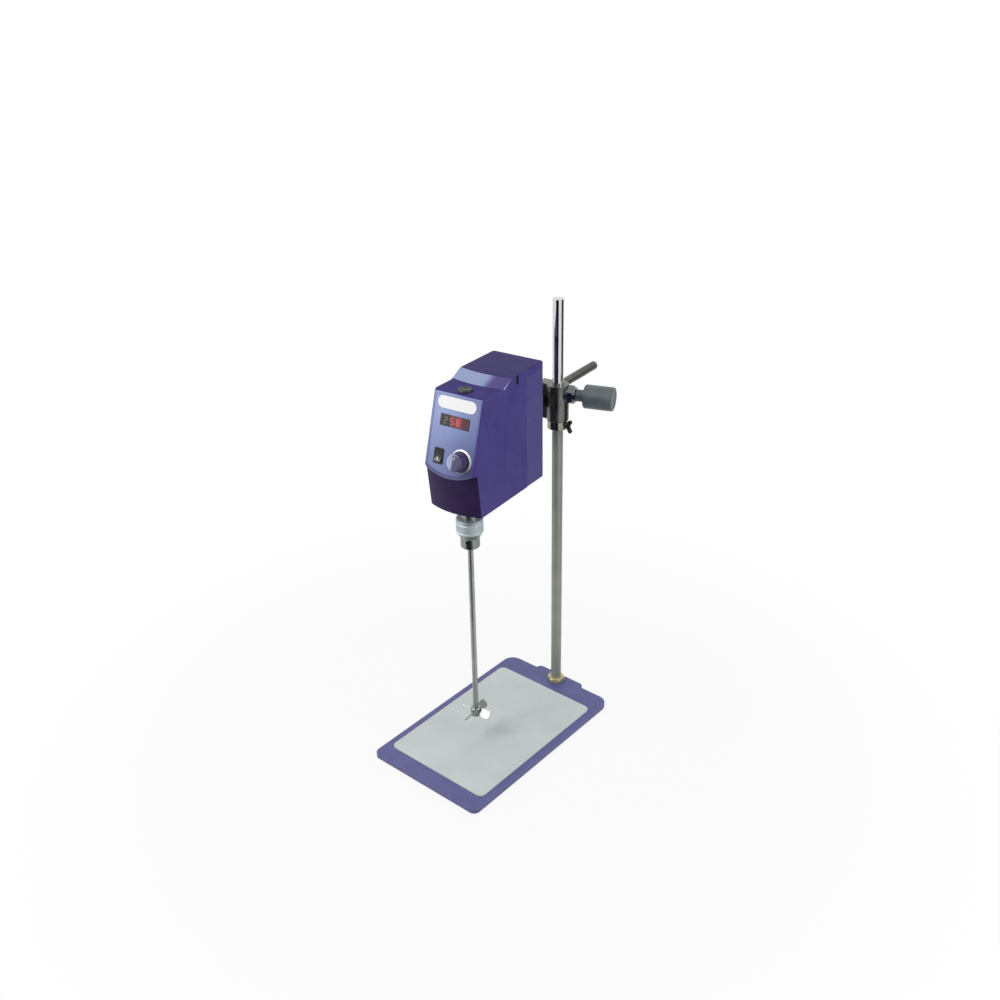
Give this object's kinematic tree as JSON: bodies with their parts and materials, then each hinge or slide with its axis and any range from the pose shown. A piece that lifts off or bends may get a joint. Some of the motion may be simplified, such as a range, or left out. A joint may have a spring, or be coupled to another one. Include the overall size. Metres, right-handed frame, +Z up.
{
  "type": "overhead stirrer",
  "caption": "Overhead laboratory stirrer: motor head on a clamped arm, upright pole on a flat plate, chuck with stirring rod and bladed impeller.",
  "frame": {"origin": "centre of the base plate's outline without its rear tongue, at the underside of the anti-slip pad, on the bench", "axes": "+Z up along the pole, +Y from the plate's front edge to the pole, +X to the right seen from the front"},
  "size_m": [0.2, 0.4618, 0.644],
  "materials": {
    "purple_paint": "satin",
    "purple_plastic": "satin",
    "panel_blue": "satin",
    "mat_grey": "matt",
    "black_rubber": "matt",
    "chrome": "polished",
    "steel": "satin",
    "cast": "satin",
    "grey_plastic": "satin",
    "black_plastic": "gloss",
    "white_plastic": "gloss",
    "window_dark": "gloss",
    "alloy": "satin",
    "brass": "satin",
    "board_green": "satin",
    "gear_plastic": "satin"
  },
  "bodies": {
    "stand": {"base_plate": "purple_paint", "base_mat": "mat_grey", "base_pad": "black_rubber", "pole": "chrome", "pole_foot_nut": "brass", "pole_screw": "steel"},
    "stop_ring": {"stop_ring": "chrome"},
    "ring_screw": {"ring_screw": "cast"},
    "clamp": {"clamp_body": "cast", "clamp_collar": "grey_plastic"},
    "handle": {"clamp_handle": "grey_plastic", "clamp_stud": "steel"},
    "arm_bush": {"arm_bush": "brass"},
    "arm_screw": {"arm_screw": "black_plastic"},
    "head": {"support_arm": "steel", "arm_flange": "cast", "arm_flange_screws": "steel", "front_shell": "purple_plastic", "rear_cover": "purple_plastic", "top_cover": "purple_plastic", "front_panel": "panel_blue", "label_plate": "white_plastic", "display_window": "window_dark", "display_module": "black_plastic", "switch_body": "black_plastic", "potentiometer": "steel", "inner_frame": "alloy", "frame_screws": "steel", "spindle_bearings": "steel", "motor_case": "cast", "motor_magnets": "cast", "motor_bearings": "steel", "motor_screws": "steel", "circuit_board": "board_green", "board_parts": "black_plastic", "board_pillars": "brass", "power_inlet": "black_plastic", "inlet_pins": "brass"},
    "rocker": {"rocker": "black_plastic"},
    "speed_knob": {"speed_knob": "purple_plastic", "speed_knob_skirt": "alloy"},
    "drive": {"spindle": "steel", "spindle_gear": "gear_plastic", "spindle_rings": "steel", "chuck_body": "alloy"},
    "rotor": {"motor_rotor": "steel", "motor_pinion": "brass"},
    "chuck_sleeve": {"chuck_sleeve": "alloy"},
    "jaw_1": {"chuck_jaw_1": "steel"},
    "jaw_2": {"chuck_jaw_2": "steel"},
    "jaw_3": {"chuck_jaw_3": "steel"},
    "tool": {"stirring_rod": "steel", "impeller": "steel", "impeller_screw": "steel"},
    "plug": {"hole_plug": "black_rubber"}
  },
  "joints": [
    {"name": "height_slide", "type": "slide", "parent": "stand", "child": "stop_ring", "axis": [0, 0, 1], "range_m": [-0.015, 0.11]},
    {"name": "ring_screw_turn", "type": "hinge", "parent": "stop_ring", "child": "ring_screw", "pos_m": [0, 0.153, 0.46], "axis": [0.9994, -0.0349, 0], "range_deg": [-180, 90]},
    {"name": "head_swivel", "type": "hinge", "parent": "stop_ring", "child": "clamp", "pos_m": [0, 0.153, 0.495], "axis": [0, 0, 1], "range_deg": [-60, 60]},
    {"name": "handle_turn", "type": "hinge", "parent": "clamp", "child": "handle", "pos_m": [0, 0.153, 0.506], "axis": [0.9397, 0.342, 0], "range_deg": [-360, 90]},
    {"name": "arm_screw_turn", "type": "hinge", "parent": "clamp", "child": "arm_screw", "pos_m": [-0.02785, 0.15007, 0.495], "axis": [-0.9945, -0.1045, 0], "range_deg": [-360, 90]},
    {"name": "arm_roll", "type": "hinge", "parent": "clamp", "child": "arm_bush", "pos_m": [-0.02785, 0.15007, 0.495], "axis": [-0.1045, 0.9945, 0], "range_deg": [-15, 15]},
    {"name": "arm_slide", "type": "slide", "parent": "arm_bush", "child": "head", "axis": [-0.1045, 0.9945, 0], "range_m": [-0.1, 0.01]},
    {"name": "rocker_tilt", "type": "hinge", "parent": "head", "child": "rocker", "pos_m": [-0.02264, -0.07171, 0.4838], "axis": [0.9945, 0.1045, 0], "range_deg": [0, 14]},
    {"name": "speed_turn", "type": "hinge", "parent": "head", "child": "speed_knob", "pos_m": [0.01303, -0.06666, 0.48288], "axis": [0.1001, -0.9523, 0.2883], "range_deg": [-270, 20]},
    {"name": "spindle_spin", "type": "hinge", "parent": "head", "child": "drive", "pos_m": [-0.00872, -0.03192, 0.403], "axis": [0, 0, 1], "continuous": true},
    {"name": "motor_spin", "type": "hinge", "parent": "head", "child": "rotor", "pos_m": [-0.01248, 0.00388, 0.403], "axis": [0, 0, 1], "continuous": true},
    {"name": "sleeve_turn", "type": "hinge", "parent": "drive", "child": "chuck_sleeve", "pos_m": [-0.00872, -0.03192, 0.403], "axis": [0, 0, 1], "range_deg": [0, 270]},
    {"name": "rod_slide", "type": "slide", "parent": "drive", "child": "tool", "axis": [0, 0, 1], "range_m": [-0.015, 0.14]},
    {"name": "plug_lift", "type": "slide", "parent": "head", "child": "plug", "axis": [0, 0, 1], "range_m": [0, 0.02]},
    {"name": "jaw_1_slide", "type": "slide", "parent": "drive", "child": "jaw_1", "axis": [0.9945, 0.1045, 0], "range_m": [0, 0.0015]},
    {"name": "jaw_2_slide", "type": "slide", "parent": "drive", "child": "jaw_2", "axis": [-0.5878, 0.809, 0], "range_m": [0, 0.0015]},
    {"name": "jaw_3_slide", "type": "slide", "parent": "drive", "child": "jaw_3", "axis": [-0.4067, -0.9135, 0], "range_m": [0, 0.0015]}
  ],
  "couplings": [
    {"joint": "motor_spin", "follows": "spindle_spin", "ratio": -3},
    {"joint": "jaw_1_slide", "follows": "sleeve_turn", "m_per_rad": 0.00031828},
    {"joint": "jaw_2_slide", "follows": "sleeve_turn", "m_per_rad": 0.00031828},
    {"joint": "jaw_3_slide", "follows": "sleeve_turn", "m_per_rad": 0.00031828}
  ]
}
